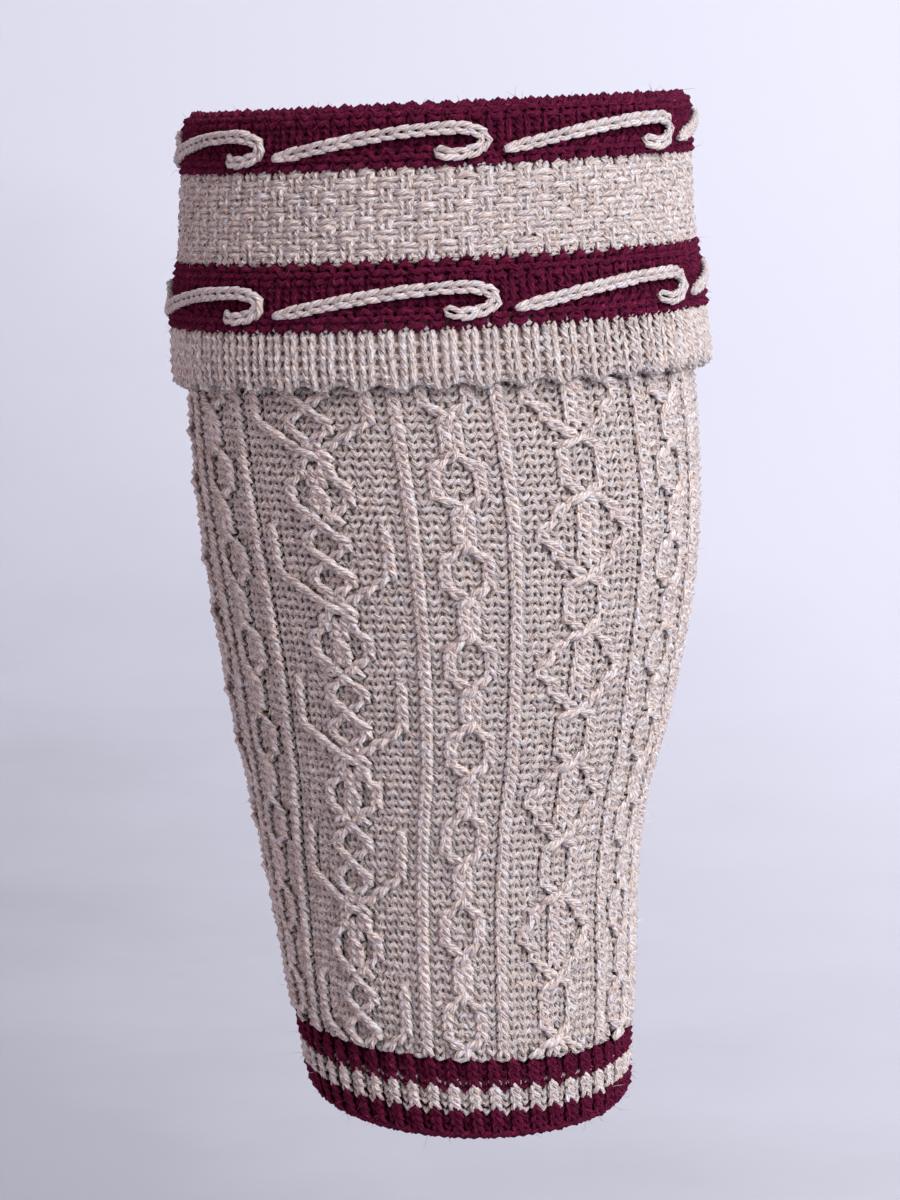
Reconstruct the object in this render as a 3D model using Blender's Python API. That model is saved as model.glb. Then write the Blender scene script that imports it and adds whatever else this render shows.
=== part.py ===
"""A hand-knitted calf warmer in its worn shape: a patterned leg tube, a ribbed ankle welt in three
stripes, and a cuff that is turned down over the top edge, with chain stitch hooks on its two bands.

Metres, +Z up. The origin is on the tube's axis at the widest girth of the calf, where the wearer's
leg holds the garment. The front faces -Y. Tables and sizes are in millimetres; MM turns them into
metres. Turns are degrees round the tube, 0 at the front, growing towards +X."""

import math

import bpy

MM = 0.001

# Shape of the tube: depth over width of every section, and the walls
DEPTH_SHARE = 0.95
LEG_WALL = 2.2
WELT_WALL = 2.0
CUFF_WALL = 2.2
HEM_WALL = 2.4

# Section tables: height on the axis, sideways place of the axis, half width, how much the rows rise
# to the right, how much they dip to the front

# Leg: half width of the purl ground
LEG_SECTIONS = [
    (91.1, -3.2, 59.2, 0.047, 0.0),
    (60.0, -3.1, 60.6, 0.047, 0.0),
    (40.0, -2.6, 61.9, 0.040, 0.0),
    (20.0, -1.2, 62.8, 0.020, 0.0),
    (0.0, 0.0, 62.6, 0.010, 0.0),
    (-20.0, 0.9, 61.1, 0.0, 0.0),
    (-40.0, 1.1, 58.1, 0.0, 0.0),
    (-60.0, 0.7, 54.2, 0.0, 0.0),
    (-75.0, 0.1, 50.4, 0.0, 0.0),
    (-90.0, 0.2, 47.4, 0.0, 0.01),
    (-105.0, 1.1, 45.3, 0.0, 0.03),
    (-120.0, 2.2, 44.1, -0.020, 0.065),
    (-135.8, 3.3, 42.3, -0.045, 0.10),
]

# Welt: half width in the furrows between its ribs
WELT_SECTIONS = [
    (-135.8, 3.3, 41.6, -0.045, 0.10),
    (-141.9, 4.0, 41.2, -0.035, 0.12),
    (-147.9, 4.6, 40.6, -0.025, 0.135),
    (-153.4, 5.3, 39.6, -0.015, 0.15),
]

# Cuff: half width of its outer face
CUFF_SECTIONS = [
    (94.0, -3.2, 61.8, 0.047, 0.0),
    (88.0, -3.3, 62.6, 0.047, 0.0),
    (80.0, -3.4, 63.0, 0.047, 0.0),
    (70.0, -3.5, 63.3, 0.047, 0.0),
    (60.0, -3.3, 63.9, 0.047, 0.0),
    (50.0, -3.2, 65.4, 0.045, 0.0),
    (40.0, -2.8, 66.6, 0.043, 0.0),
    (26.0, -1.7, 66.9, 0.042, 0.0),
]

# Rows of knitting on the leg, counted down from the cuff's lower edge
ROW_HEIGHT = 2.2
FIRST_ROW_HEIGHT = 27.0
LAST_ROW = 74
RELIEF_FIRST_ROW = -2
STITCHES_AT_CALF = 108
STITCHES_AT_ANKLE = 96
SHAPING_ROWS = (16, 62)

# Front pattern: row, turn of its middle, degrees to a stitch in its panels. It reaches so many
# stitches to each side, and the back and its gussets share the rest of the round
PATTERN_REACH = 31.5
PATTERN_ROWS = [
    (0.0, -32.0, 3.20),
    (14.0, -29.4, 3.20),
    (24.0, -27.8, 3.11),
    (34.0, -26.8, 3.08),
    (44.0, -27.0, 3.17),
    (54.0, -30.0, 3.35),
    (64.0, -33.0, 3.48),
    (74.0, -34.5, 3.55),
]

# Raised stitches: height over the purl ground and half width
STRAND_HEIGHT = 1.2
STRAND_HALF_WIDTH = 1.35

# Panels in order round the tube: motif, stitches from the middle of its zone
FRONT_PANELS = [
    ("column", -31.5),
    ("ring_chain", -28.0),
    ("column", -24.5),
    ("heart", -19.0),
    ("column", -13.5),
    ("ring_chain", -10.0),
    ("column", -6.5),
    ("diamond", 0.0),
    ("column", 6.5),
    ("ring_chain", 10.0),
    ("column", 13.5),
    ("heart", 19.0),
    ("column", 24.5),
    ("ring_chain", 28.0),
    ("column", 31.5),
]
BACK_PANELS = [
    ("column", -13.5),
    ("ring_chain", -10.0),
    ("column", -6.5),
    ("diamond", 0.0),
    ("column", 6.5),
    ("ring_chain", 10.0),
    ("column", 13.5),
]

# Ring chain: row from the ring's middle, half distance of its two strands
RING_REPEAT = 10
RING_MIDDLE_ROW = 0.5
RING_ROWS = [(0.0, 1.5), (2.0, 1.5), (3.2, 0.55), (6.8, 0.55), (8.0, 1.5), (10.0, 1.5)]

# Diamond: row from the upper crossing, outer strand's place and rise, inner strand's place and rise
DIAMOND_REPEAT = 17
DIAMOND_CROSSING_ROW = 7.7
DIAMOND_ROWS = [
    (0.0, 1.0, 1.0, 0.40, 0.7),
    (1.5, 1.6, 1.0, 0.90, 0.7),
    (3.8, 2.6, 1.0, 0.40, 1.0),
    (5.2, 2.3, 1.0, 1.10, 1.0),
    (6.6, 1.4, 1.0, 0.60, 0.6),
    (7.6, 1.2, 0.0, 0.45, 1.0),
    (8.2, 4.5, 0.0, 0.90, 1.0),
    (9.4, 4.5, 1.0, 1.30, 1.0),
    (11.5, 4.5, 1.0, 0.45, 1.0),
    (12.8, 4.4, 1.0, 1.20, 1.0),
    (15.2, 2.5, 1.0, 1.20, 1.0),
    (17.0, 1.0, 1.0, 0.40, 0.7),
]

# Rows of one diamond repeat at which the leg's outer face has a section
SECTION_ROWS = (0.0, 1.9, 3.8, 5.7, 7.6, 8.2, 10.3, 12.6, 14.8)

# Heart over a small diamond: row from the upper crossing, half distance of its two strands
HEART_REPEAT = 15
HEART_CROSSING_ROW = 6.2
HEART_ROWS = [
    (0.0, 0.6),
    (1.5, 1.2),
    (3.4, 1.5),
    (5.2, 1.2),
    (6.8, 0.6),
    (8.3, 1.9),
    (10.0, 2.9),
    (12.0, 3.0),
    (13.3, 2.0),
    (15.0, 0.6),
]

# Plain lengths of the leg: under the cuff, and the inner face
PLAIN_POINTS = 48
UNDER_CUFF_HEIGHTS = (91.1, 62.0, 38.0)
INNER_HEIGHTS = (-135.8, -110.0, -80.0, -50.0, -20.0, 20.0, 60.0, 91.1)

# Welt: its ribs and its stripes from the top, with the heights of their edges
WELT_RIBS = 48
RIB_HEIGHT = 0.9
WELT_STRIPES = [
    ("welt_stripe_top", "burgundy_yarn", -136.1, -141.8),
    ("welt_stripe_mid", "heather_yarn", -142.1, -147.8),
    ("welt_stripe_low", "burgundy_yarn", -148.1, -153.4),
]

# Outer faces of the cuff's pieces, from the top: height, how far out of the cuff's sections
CUFF_POINTS = 48
RIDGE = 0.9
FURROW = 0.3
BAND_TOP_FACE = [
    (91.5, -5.0),
    (92.6, -5.3),
    (93.7, -4.2),
    (93.9, -1.4),
    (93.0, 0.3),
    (91.6, RIDGE),
    (90.4, FURROW),
    (89.3, RIDGE),
    (88.0, 0.0),
    (82.2, 0.0),
    (80.9, RIDGE),
    (79.8, FURROW),
    (78.7, RIDGE),
    (77.6, 0.2),
]
MOSS_FACE = [(77.3, 0.2), (76.0, 0.5), (57.4, 0.5), (56.1, 0.2)]
BAND_LOW_FACE = [
    (55.8, 0.2),
    (54.6, RIDGE),
    (53.5, FURROW),
    (52.4, RIDGE),
    (51.2, 0.0),
    (44.6, 0.0),
    (43.3, RIDGE),
    (42.2, FURROW),
    (41.1, RIDGE),
    (40.0, 0.2),
]

# Hem: its teeth, and height and place outwards of its edge at a tooth and at a notch
HEM_TEETH = 42
HEM_TOP = 39.7
HEM_BELLY = (31.5, 0.5)
HEM_TOOTH = (26.8, 0.1)
HEM_NOTCH = (28.6, -0.7)
HEM_EDGE_ROUNDING = 0.9

# Chain stitch hooks: degrees from the hook's start, height over the middle of the band
HOOKS_PER_BAND = 7
HOOK_LINE = [
    (0.0, -2.2),
    (7.0, -0.8),
    (14.5, 0.7),
    (21.0, 1.8),
    (29.5, 2.9),
    (36.0, 3.3),
    (42.0, 3.4),
    (46.2, 2.1),
    (47.4, -0.4),
    (44.8, -2.3),
    (39.6, -3.1),
    (36.6, -1.8),
]
HOOK_HALF_WIDTH = 1.5
HOOK_TIP_SHARE = 0.35
HOOK_CROWN_SHARE = 0.6
HOOK_THICKNESS = 1.3
HOOK_GAP = 0.45
RIDGE_REACH = 1.3
HOOK_BANDS = [
    ("hook_top", BAND_TOP_FACE, 85.1, -36.5),
    ("hook_low", BAND_LOW_FACE, 47.9, -35.0),
]

# Yarn colours, linear
YARNS = {
    "heather_yarn": (0.47, 0.39, 0.37, 1.0),
    "burgundy_yarn": (0.10, 0.010, 0.028, 1.0),
    "pale_yarn": (0.60, 0.53, 0.52, 1.0),
}


def clear_scene():
    for obj in list(bpy.data.objects):
        bpy.data.objects.remove(obj, do_unlink=True)


def yarn_material(name):
    material = bpy.data.materials.new(name)
    material.use_nodes = True
    shader = material.node_tree.nodes["Principled BSDF"]
    shader.inputs["Base Color"].default_value = YARNS[name]
    shader.inputs["Roughness"].default_value = 0.9
    shader.inputs["Metallic"].default_value = 0.0
    return material


def read_straight(table, at):
    """The values of a table at a place, on straight lines between its rows, whose places grow."""
    for low, high in zip(table, table[1:]):
        if at <= high[0]:
            share = (at - low[0]) / (high[0] - low[0])
            return [a + (b - a) * share for a, b in zip(low[1:], high[1:])]
    return table[-1][1:]


def read_smooth(table, height):
    """The values of a section table at a height, on a smooth curve through its rows."""
    rows = table[::-1]
    height = min(max(height, rows[0][0]), rows[-1][0])
    i = next(k for k in range(len(rows) - 1) if height <= rows[k + 1][0])
    span = rows[i + 1][0] - rows[i][0]
    share = (height - rows[i][0]) / span
    square, cube = share**2, share**3
    values = []
    for column in range(1, len(rows[0])):
        slopes = []
        for k in (i, i + 1):
            before, after = rows[max(k - 1, 0)], rows[min(k + 1, len(rows) - 1)]
            slopes.append((after[column] - before[column]) / (after[0] - before[0]) * span)
        values.append(
            rows[i][column] * (2 * cube - 3 * square + 1)
            + slopes[0] * (cube - 2 * square + share)
            + rows[i + 1][column] * (3 * square - 2 * cube)
            + slopes[1] * (cube - square)
        )
    return values


def tube_point(table, height, turn, out=0.0):
    """A point on the tube that a section table describes, moved outwards, in metres."""
    axis_x, half_width, rise, dip = read_smooth(table, height)
    angle = math.radians(turn)
    side = (half_width + out) * math.sin(angle)
    depth = (half_width * DEPTH_SHARE + out) * math.cos(angle)
    return ((axis_x + side) * MM, -depth * MM, (height + rise * side - dip * depth) * MM)


def mesh_object(name, yarn, points, faces):
    mesh = bpy.data.meshes.new(name)
    mesh.from_pydata(points, [], faces)
    mesh.shade_smooth()
    mesh.set_sharp_from_angle(angle=math.radians(50))
    mesh.materials.append(bpy.data.materials[yarn])
    obj = bpy.data.objects.new(name, mesh)
    bpy.context.scene.collection.objects.link(obj)
    return obj


def from_the_back(ring):
    """A ring of (index, turn) with turns from -180 to 180, started at the back."""
    ring = [(index, (turn + 180.0) % 360.0 - 180.0) for index, turn in ring]
    start = min(range(len(ring)), key=lambda k: ring[k][1])
    return ring[start:] + ring[:start]


def band_faces(upper, lower):
    """Faces between two rings of (index, turn), facing out where upper lies over lower."""
    if len(upper) == len(lower):
        pairs = list(zip(upper, lower))
        return [
            (a[0], b[0], next_b[0], next_a[0])
            for (a, b), (next_a, next_b) in zip(pairs, pairs[1:] + pairs[:1])
        ]
    upper, lower = from_the_back(upper), from_the_back(lower)
    upper.append((upper[0][0], upper[0][1] + 360.0))
    lower.append((lower[0][0], lower[0][1] + 360.0))
    faces = []
    a, b = 0, 0
    while a < len(upper) - 1 or b < len(lower) - 1:
        upper_is_next = b == len(lower) - 1 or (
            a < len(upper) - 1 and upper[a + 1][1] <= lower[b + 1][1]
        )
        if upper_is_next:
            faces.append((upper[a][0], lower[b][0], upper[a + 1][0]))
            a += 1
        else:
            faces.append((upper[a][0], lower[b][0], lower[b + 1][0]))
            b += 1
    return faces


def wall_object(name, yarn, rings):
    """A closed wall from rings of (turn, point): down its outer face, then up its inner face."""
    points = []
    faces = []
    numbered = []
    for ring in rings:
        numbered.append([(len(points) + k, turn) for k, (turn, _) in enumerate(ring)])
        points += [point for _, point in ring]
    for upper, lower in zip(numbered, numbered[1:] + numbered[:1]):
        faces += band_faces(upper, lower)
    return mesh_object(name, yarn, points, faces)


def plain_ring(table, height, out, count):
    turns = [-180.0 + 360.0 * k / count for k in range(count)]
    return [(turn, tube_point(table, height, turn, out)) for turn in turns]


def stitches_at(row):
    first, last = SHAPING_ROWS
    share = min(max((row - first) / (last - first), 0.0), 1.0)
    return STITCHES_AT_CALF + (STITCHES_AT_ANKLE - STITCHES_AT_CALF) * share


def place_turn(row, place):
    """The turn of a place that is given in stitches from the front pattern's middle."""
    middle, per_stitch = read_straight(PATTERN_ROWS, max(row, 0.0))
    stitches = stitches_at(row)
    place = (place + stitches / 2) % stitches - stitches / 2
    beyond = max(abs(place) - PATTERN_REACH, 0.0)
    per_back_stitch = (180.0 - PATTERN_REACH * per_stitch) / (stitches / 2 - PATTERN_REACH)
    reach = (abs(place) - beyond) * per_stitch + beyond * per_back_stitch
    return middle + math.copysign(reach, place)


def motif_strands(motif, row):
    """Strands of a motif from its left, each as its place in stitches and its rise."""
    if motif == "column":
        return [(0.0, 1.0)]
    if motif == "ring_chain":
        (half,) = read_straight(RING_ROWS, (row - RING_MIDDLE_ROW) % RING_REPEAT)
        return [(-half, 1.0), (half, 1.0)]
    if motif == "heart":
        (half,) = read_straight(HEART_ROWS, (row - HEART_CROSSING_ROW) % HEART_REPEAT)
        return [(-half, 1.0), (half, 1.0)]
    at = (row - DIAMOND_CROSSING_ROW) % DIAMOND_REPEAT
    outer, outer_rise, inner, inner_rise = read_straight(DIAMOND_ROWS, at)
    return [(-outer, outer_rise), (-inner, inner_rise), (inner, inner_rise), (outer, outer_rise)]


def strands_round(row):
    """All strands round the tube: place in stitches from the pattern's middle, rise, last of zone."""
    strands = []
    for panels, middle in ((FRONT_PANELS, 0.0), (BACK_PANELS, stitches_at(row) / 2)):
        for motif, at in panels:
            strands += [(middle + at + s, rise, False) for s, rise in motif_strands(motif, row)]
        place, rise, _ = strands[-1]
        strands[-1] = (place, rise, True)
    return strands


def relief_ring(row):
    """The leg's outer face at a row: a crest for each strand, and its feet on the purl ground."""
    stitches = stitches_at(row)
    height = FIRST_ROW_HEIGHT - ROW_HEIGHT * row
    girth = 2 * math.pi * read_smooth(LEG_SECTIONS, height)[1]
    foot = STRAND_HALF_WIDTH * stitches / girth
    strands = strands_round(row)
    places = []
    for (at, rise, gusset_follows), (after, _, _) in zip(strands, strands[1:] + strands[:1]):
        gap = (after - at) % stitches
        reach = min(foot, 0.45 * gap)
        places += [(at, rise * STRAND_HEIGHT), (at + reach, 0.0)]
        if gusset_follows:
            places.append((at + gap / 2, 0.0))
        places.append((at + gap - reach, 0.0))
    ring = []
    for at, out in places:
        turn = place_turn(row, at)
        ring.append((turn, tube_point(LEG_SECTIONS, height, turn, out)))
    return ring


def relief_rows():
    """Rows of the sections, from the first, with a section where each diamond's strands turn."""
    repeats = range(-1, LAST_ROW // DIAMOND_REPEAT + 1)
    rows = [DIAMOND_CROSSING_ROW + DIAMOND_REPEAT * k + at for k in repeats for at in SECTION_ROWS]
    inside = [row for row in rows if RELIEF_FIRST_ROW < row < LAST_ROW]
    return [RELIEF_FIRST_ROW, *inside, LAST_ROW]


def build_leg():
    rings = [plain_ring(LEG_SECTIONS, h, 0.0, PLAIN_POINTS) for h in UNDER_CUFF_HEIGHTS]
    rings += [relief_ring(row) for row in relief_rows()]
    rings += [plain_ring(LEG_SECTIONS, h, -LEG_WALL, PLAIN_POINTS) for h in INNER_HEIGHTS]
    wall_object("leg", "heather_yarn", rings)


def rib_ring(height):
    turns = [-180.0 + 180.0 * k / WELT_RIBS for k in range(2 * WELT_RIBS)]
    outs = [RIB_HEIGHT if k % 2 else 0.0 for k in range(2 * WELT_RIBS)]
    return [(t, tube_point(WELT_SECTIONS, height, t, out)) for t, out in zip(turns, outs)]


def build_welt():
    for name, yarn, top, bottom in WELT_STRIPES:
        rings = [rib_ring(top), rib_ring(bottom)]
        rings += [plain_ring(WELT_SECTIONS, h, -WELT_WALL, WELT_RIBS) for h in (bottom, top)]
        wall_object(name, yarn, rings)


def build_cuff_piece(name, yarn, face, inner_top):
    rings = [plain_ring(CUFF_SECTIONS, h, out, CUFF_POINTS) for h, out in face]
    for height in (face[-1][0], inner_top):
        rings.append(plain_ring(CUFF_SECTIONS, height, -CUFF_WALL, CUFF_POINTS))
    wall_object(name, yarn, rings)


def edge_ring(tooth, notch):
    """A ring that runs from tooth to notch to tooth, each given by its height and place outwards."""
    ring = []
    for k in range(2 * HEM_TEETH):
        height, out = notch if k % 2 else tooth
        turn = -180.0 + 180.0 * k / HEM_TEETH
        ring.append((turn, tube_point(CUFF_SECTIONS, height, turn, out)))
    return ring


def build_hem():
    count = 2 * HEM_TEETH
    inner_tooth = (HEM_TOOTH[0] + HEM_EDGE_ROUNDING, -HEM_WALL)
    inner_notch = (HEM_NOTCH[0] + HEM_EDGE_ROUNDING, -HEM_WALL)
    rings = [
        plain_ring(CUFF_SECTIONS, HEM_TOP, 0.0, count),
        plain_ring(CUFF_SECTIONS, *HEM_BELLY, count),
        edge_ring(HEM_TOOTH, HEM_NOTCH),
        edge_ring(inner_tooth, inner_notch),
        plain_ring(CUFF_SECTIONS, HEM_TOP, -HEM_WALL, count),
    ]
    wall_object("cuff_hem", "heather_yarn", rings)


def highest_face(face, height):
    """How far out a cuff face stands, at the most, near a height."""
    climbing = face[::-1]
    steps = [height + RIDGE_REACH * k / 4 for k in range(-4, 5)]
    return max(read_straight(climbing, step)[0] for step in steps)


def hook_station(face, middle, start, before, here, after, half_width):
    """Four points across the hook's line: two feet just over the band, two crowns over those."""
    half_girth = read_smooth(CUFF_SECTIONS, middle)[1]
    along = math.radians(after[0] - before[0]) * half_girth
    rise = after[1] - before[1]
    length = math.hypot(along, rise)
    points = []
    for share, lift in ((1.0, 0.0), (-1.0, 0.0), (-HOOK_CROWN_SHARE, 1.0), (HOOK_CROWN_SHARE, 1.0)):
        reach = share * half_width
        turn = start + here[0] - math.degrees(reach * rise / length / half_girth)
        height = middle + here[1] + reach * along / length
        out = highest_face(face, height) + HOOK_GAP + lift * HOOK_THICKNESS
        points.append(tube_point(CUFF_SECTIONS, height, turn, out))
    return points


def build_hook(name, face, middle, start):
    last = len(HOOK_LINE) - 1
    points = []
    for k, here in enumerate(HOOK_LINE):
        before, after = HOOK_LINE[max(k - 1, 0)], HOOK_LINE[min(k + 1, last)]
        half_width = HOOK_HALF_WIDTH * (HOOK_TIP_SHARE if k == 0 else 1.0)
        points += hook_station(face, middle, start, before, here, after, half_width)
    faces = [(0, 1, 2, 3), tuple(4 * last + k for k in (3, 2, 1, 0))]
    for k in range(last):
        for side in range(4):
            a, b = 4 * k + side, 4 * k + (side + 1) % 4
            faces.append((a, a + 4, b + 4, b))
    mesh_object(name, "pale_yarn", points, faces)


def main():
    clear_scene()
    for name in YARNS:
        yarn_material(name)
    build_leg()
    build_welt()
    build_cuff_piece("cuff_band_top", "burgundy_yarn", BAND_TOP_FACE, BAND_TOP_FACE[0][0])
    build_cuff_piece("cuff_moss", "heather_yarn", MOSS_FACE, MOSS_FACE[0][0])
    build_cuff_piece("cuff_band_low", "burgundy_yarn", BAND_LOW_FACE, BAND_LOW_FACE[0][0])
    build_hem()
    for prefix, face, middle, first_turn in HOOK_BANDS:
        for k in range(HOOKS_PER_BAND):
            turn = first_turn + 360.0 * k / HOOKS_PER_BAND
            build_hook(f"{prefix}_{k + 1}", face, middle, turn)


main()
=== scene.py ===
"""The looks of a hand-knitted calf warmer. Every stitch of the leg, the ankle welt and the cuff is a
loop of yarn that goes through its neighbours' loops, as in the real knitting, and the hooks on the
cuff's bands are chains of yarn.

Sizes are in millimetres until MM turns them into metres; the backdrop, lights and camera are in
metres. Turns are degrees round the tube, 0 at the front, growing towards +X. Rows count in the order of
knitting: the leg and the welt are knitted downwards, the cuff upwards from its toothed edge."""

import math

import bpy
import numpy as np
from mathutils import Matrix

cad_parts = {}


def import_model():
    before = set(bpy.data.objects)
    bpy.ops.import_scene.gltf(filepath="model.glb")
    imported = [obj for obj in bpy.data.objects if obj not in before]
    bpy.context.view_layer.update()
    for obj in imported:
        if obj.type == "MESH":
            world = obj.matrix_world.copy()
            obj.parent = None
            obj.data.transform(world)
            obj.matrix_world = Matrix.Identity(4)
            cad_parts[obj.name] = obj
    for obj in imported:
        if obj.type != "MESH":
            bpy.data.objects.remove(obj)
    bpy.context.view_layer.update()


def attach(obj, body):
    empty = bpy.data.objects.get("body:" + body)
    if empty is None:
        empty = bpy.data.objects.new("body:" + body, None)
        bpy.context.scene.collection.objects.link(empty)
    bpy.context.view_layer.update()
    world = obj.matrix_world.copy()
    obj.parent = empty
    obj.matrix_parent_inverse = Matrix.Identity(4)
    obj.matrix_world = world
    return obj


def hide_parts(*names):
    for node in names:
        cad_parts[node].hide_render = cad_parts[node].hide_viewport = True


MM = 0.001

# Shape of the tube: depth over width of every section
DEPTH_SHARE = 0.95

# Section tables: height on the axis, sideways place of the axis, half width, how much the rows rise
# to the right, how much they dip to the front
LEG_SECTIONS = np.array([
    (91.1, -3.2, 59.2, 0.047, 0.0),
    (60.0, -3.1, 60.6, 0.047, 0.0),
    (40.0, -2.6, 61.9, 0.040, 0.0),
    (20.0, -1.2, 62.8, 0.020, 0.0),
    (0.0, 0.0, 62.6, 0.010, 0.0),
    (-20.0, 0.9, 61.1, 0.0, 0.0),
    (-40.0, 1.1, 58.1, 0.0, 0.0),
    (-60.0, 0.7, 54.2, 0.0, 0.0),
    (-75.0, 0.1, 50.4, 0.0, 0.0),
    (-90.0, 0.2, 47.4, 0.0, 0.01),
    (-105.0, 1.1, 45.3, 0.0, 0.03),
    (-120.0, 2.2, 44.1, -0.020, 0.065),
    (-135.8, 3.3, 42.3, -0.045, 0.10),
])
WELT_SECTIONS = np.array([
    (-135.8, 3.3, 41.6, -0.045, 0.10),
    (-141.9, 4.0, 41.2, -0.035, 0.12),
    (-147.9, 4.6, 40.6, -0.025, 0.135),
    (-153.4, 5.3, 39.6, -0.015, 0.15),
])
CUFF_SECTIONS = np.array([
    (94.0, -3.2, 61.8, 0.047, 0.0),
    (88.0, -3.3, 62.6, 0.047, 0.0),
    (80.0, -3.4, 63.0, 0.047, 0.0),
    (70.0, -3.5, 63.3, 0.047, 0.0),
    (60.0, -3.3, 63.9, 0.047, 0.0),
    (50.0, -3.2, 65.4, 0.045, 0.0),
    (40.0, -2.8, 66.6, 0.043, 0.0),
    (26.0, -1.7, 66.9, 0.042, 0.0),
])

# Rows of the leg, from the fold to the welt: the first that shows under the cuff is row 0, and the ones
# above FIRST_FULL_ROW are covered and made plainer
LEG_ROW = 2.2
ROW_0_HEIGHT = 27.0
LEG_ROWS = (-28, 74)
LEG_TOP = ROW_0_HEIGHT - LEG_ROW * LEG_ROWS[0] + LEG_ROW
LEG_END = -140.0
FIRST_FULL_ROW = -3
LEG_PIECES = [("leg_rows_upper", -3, 23), ("leg_rows_middle", 23, 49), ("leg_rows_lower", 49, 74)]

# Stitches once round, worked down between two rows in the two plain gussets, which narrow alike
STITCHES_AT_CALF = 108
STITCHES_AT_ANKLE = 96
SHAPING_ROWS = (16, 62)
GUSSET_STITCHES = (8, 2)

# Front pattern: row, turn of its middle, degrees to a stitch in its panels; how many stitches it
# reaches to each side
PATTERN_REACH = 31.5
PATTERN_ROWS = np.array([
    (0.0, -32.0, 3.20),
    (14.0, -29.4, 3.20),
    (24.0, -27.8, 3.11),
    (34.0, -26.8, 3.08),
    (44.0, -27.0, 3.17),
    (54.0, -30.0, 3.35),
    (64.0, -33.0, 3.48),
    (74.0, -34.5, 3.55),
])

# Charts, one string a row in the order of knitting: . purl, k raised twisted stitch, b one that
# begins, e one that ends, x two that change places on the way to the next row
RING = (
    ".k..k.", ".k..k.", ".k..k.", "..xx..", "..kk..",
    "..kk..", "..kk..", "..xx..", "..kk..", ".k..k.",
)
HEART = (
    "....xx....", "...k..k...", "...k..k...", "...k..k...", "...k..k...",
    "...k..k...", "....xx....", "...kbbk...", "..k.kk.k..", "..k.kk.k..",
    ".k..kk..k.", ".k..kk..k.", "..k.kk.k..", "..k.ee.k..", "...k..k...",
)
DIAMOND = (
    ".....kk.....", "....kbbk....", "....kkkk....", "...k.xx.k...", "...k.kk.k...",
    "...k.kk.k...", "....keek....", ".....xx.....", ".b...kk...b.", ".k..k..k..k.",
    ".k..k..k..k.", ".k...xx...k.", ".k...kk...k.", ".k..k..k..k.", "..k.k..k.k..",
    "...k.kk.k...", "....xeex....",
)
CHART_FIRST_ROW = {RING: 0, HEART: 6, DIAMOND: 8}
GUSSET = ()

# Once round the leg: half (0 front, 1 back), place of a raised column from the half's middle, and
# the panel that follows the column
ROUND = [
    (0, -31.5, RING), (0, -24.5, HEART), (0, -13.5, RING), (0, -6.5, DIAMOND),
    (0, 6.5, RING), (0, 13.5, HEART), (0, 24.5, RING), (0, 31.5, GUSSET),
    (1, -13.5, RING), (1, -6.5, DIAMOND), (1, 6.5, RING), (1, 13.5, GUSSET),
]

# Widths of a purl and of a raised stitch, before a panel's are scaled to fill it
PURL_WIDTH = 1.0
RAISED_WIDTH = 0.65

# Loops of a knit and of a purl stitch, from the foot once round: across in stitches, along in rows
KNIT_ACROSS = np.array([-0.5, -0.14, -0.25, -0.36, 0.0, 0.36, 0.25, 0.14])
KNIT_ALONG = np.array([-1.04, -0.82, 0.0, 0.82, 1.04, 0.82, 0.0, -0.82])
PURL_ACROSS = np.array([-0.5, -0.22, -0.25, -0.28, 0.0, 0.28, 0.25, 0.22])
PURL_ALONG = np.array([-1.12, -0.76, 0.0, 0.76, 1.12, 0.76, 0.0, -0.76])
FOOT, HEAD = 0, 4
LEGS = [2, 6]
LOW_ARC, HIGH_ARC = [7, 0, 1], [3, 4, 5]

# Depth of the loops: where the cloth's middle lies off its face and half its depth. Then, in shares of
# that half depth: the arcs behind a knit stitch on the tube and on the cuff, the flanks of the loops,
# and a foot between two kinds of stitch on the leg and in the ribs
CLOTH_MIDDLE = -1.05
CLOTH_DEPTH = 0.7
KNIT_BACK = -1.0
CUFF_BACK = -0.15
KNIT_FLANK = -0.35
PURL_FLANK = 0.15
EDGE_FOOT = 0.45
RIB_EDGE_FOOT = -0.5

# How far a loop may reach from its row, in rows: past all its points, where two yarns of the cuff meet,
# and up from the leg's last row
FULL_REACH = 2.0
COLOUR_EDGE_REACH = 0.55
LAST_ROW_REACH = 0.75

# Loop of a raised twisted stitch: across in stitches, along in rows, lift off the face. Then the lift
# of one that crosses in front, of one that travels, and of the stitches that it passes
TWISTED_ACROSS = np.array([-0.5, -0.10, 0.33, 0.40, 0.0, -0.42, -0.40, 0.04])
TWISTED_ALONG = np.array([-0.80, -0.58, 0.05, 0.50, 0.80, 0.45, 0.05, -0.48])
TWISTED_LIFT = np.array([-0.9, 0.30, 0.85, 0.20, -1.4, 0.0, 0.55, -0.25])
OVER_LIFT = 0.45
TRAVEL_LIFT = 0.35
PASSED_LIFT = -0.35

# A stitch travels where its head lies further aside than this share of its width. Its loop leans to the
# head, and is lifted, from these places along it
TRAVEL_SHARE = 0.3
LEAN_FROM = -0.6
LIFT_FROM = -0.9

# Yarn: half thickness in the leg's purl and knit stitches and in the ribs, sides of a strand in sight
# and under the cuff, and the length of yarn in which a strand's streaks start anywhere. How unevenly a
# hand knits: places in millimetres or degrees, thickness and size of a loop in shares
PURL_YARN = 0.74
KNIT_YARN = 0.79
RIB_YARN = 0.72
YARN_SIDES = 4
COVERED_SIDES = 3
BALL_LENGTH = 500.0
UNEVEN_PLACE = 0.11
UNEVEN_YARN = 0.08
UNEVEN_LOOP = 0.06

# Twist of the yarn in turns a millimetre, and its plies
YARN_TWIST = 0.13
YARN_PLIES = 4

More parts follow.
